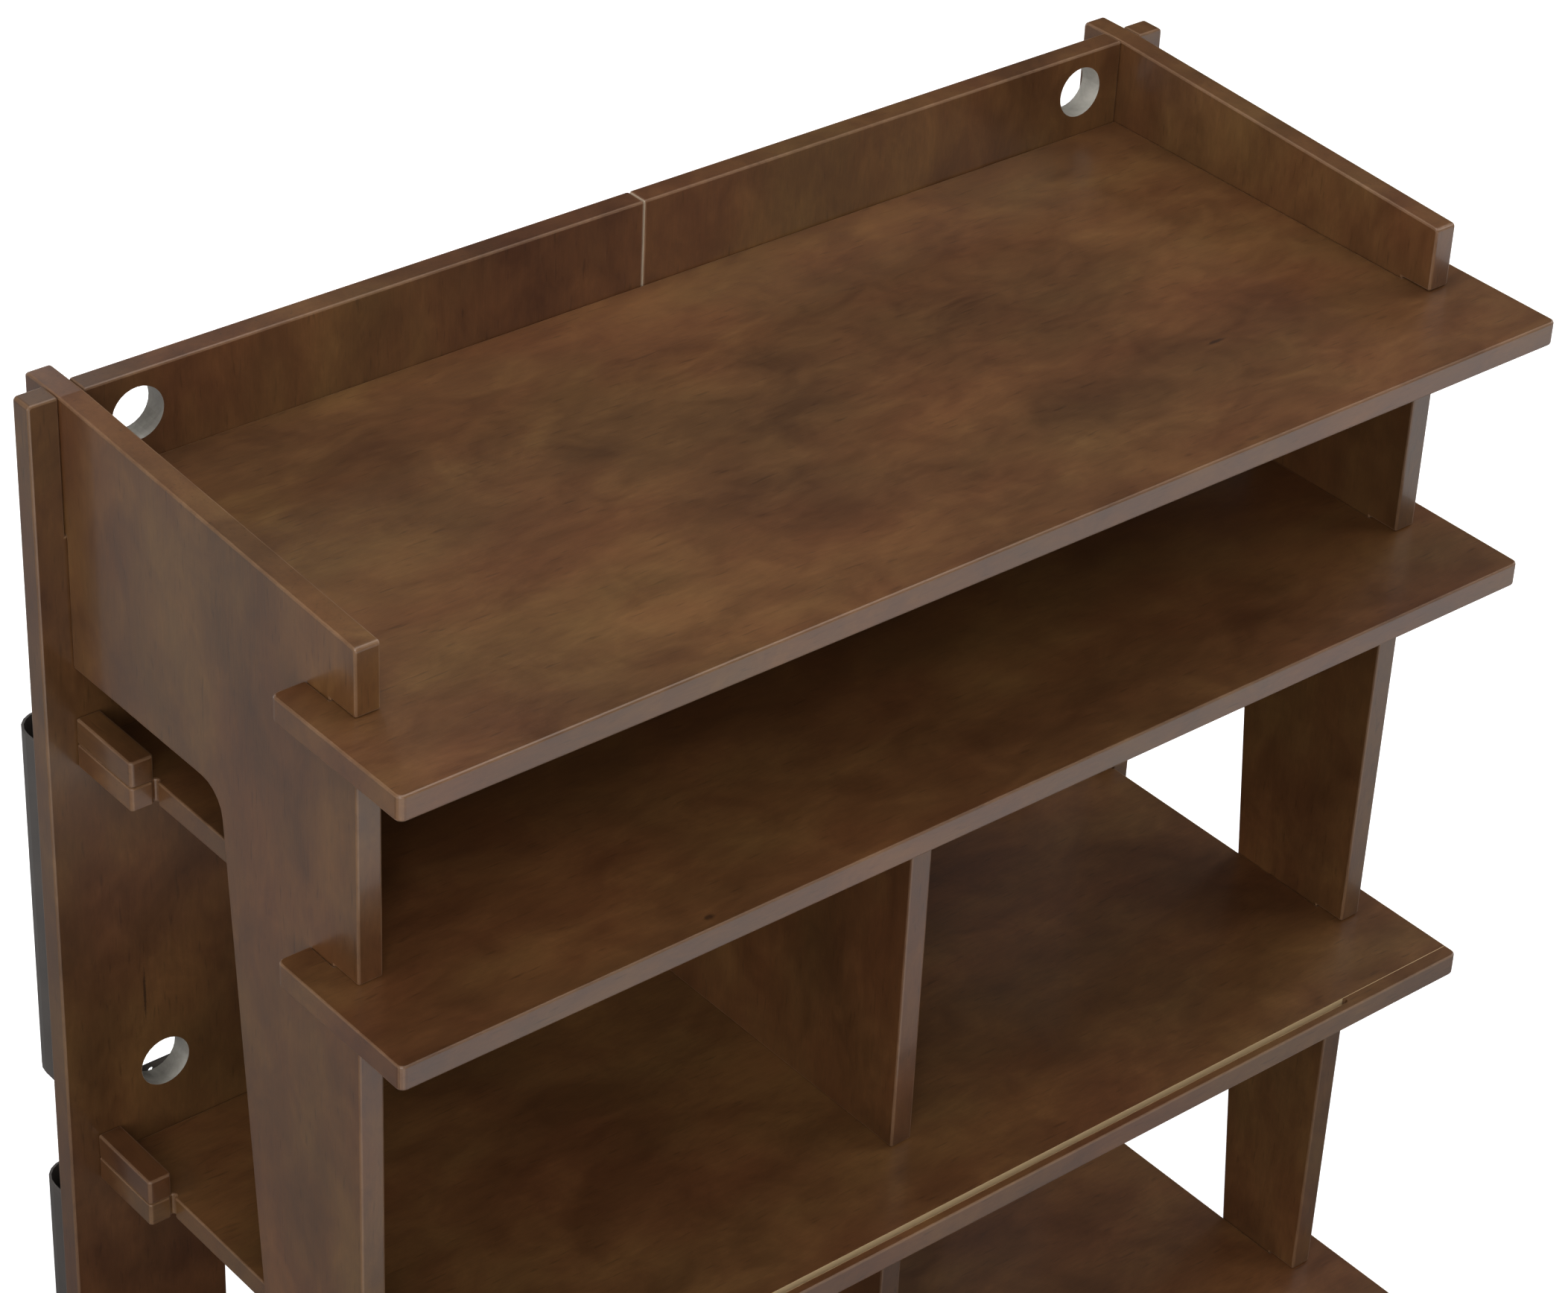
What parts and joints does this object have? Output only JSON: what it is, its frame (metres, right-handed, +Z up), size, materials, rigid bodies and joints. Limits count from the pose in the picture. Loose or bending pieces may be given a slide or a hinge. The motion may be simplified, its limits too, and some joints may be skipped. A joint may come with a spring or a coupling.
{
  "type": "record album stand",
  "caption": "Slot-together wooden record and turntable stand with raised side arms, shelves, split record bays, a sleeve display groove and cable channels on the back.",
  "frame": {"origin": "on the floor at the centre of the overall footprint, which runs from the shelves' front edge to the rear of the cable channels", "axes": "+X to the stand's right as seen from the front, +Y towards its back, +Z up"},
  "size_m": [0.96, 0.452, 1.0285],
  "materials": {
    "walnut_stain": "satin dark walnut stain over plywood, fine grain along the boards",
    "channel_grey": "smooth dark grey satin coating",
    "screw_steel": "zinc-plated steel"
  },
  "bodies": {
    "root": {"shelf_top": "walnut_stain", "shelf_amplifier": "walnut_stain", "shelf_display": "walnut_stain", "shelf_bottom": "walnut_stain", "divider_upper": "walnut_stain", "divider_lower": "walnut_stain", "side_left": "walnut_stain", "side_right": "walnut_stain", "back_left": "walnut_stain", "back_right": "walnut_stain", "lock_block_amplifier_left": "walnut_stain", "lock_block_display_left": "walnut_stain", "lock_block_bottom_left": "walnut_stain", "lock_block_amplifier_right": "walnut_stain", "lock_block_display_right": "walnut_stain", "lock_block_bottom_right": "walnut_stain", "cable_channel_upper_left": "channel_grey", "cable_channel_lower_left": "channel_grey", "cable_channel_upper_right": "channel_grey", "cable_channel_lower_right": "channel_grey", "channel_screw_1": "screw_steel", "channel_screw_2": "screw_steel", "channel_screw_3": "screw_steel", "channel_screw_4": "screw_steel", "channel_screw_5": "screw_steel", "channel_screw_6": "screw_steel", "channel_screw_7": "screw_steel", "channel_screw_8": "screw_steel"}
  },
  "joints": []
}
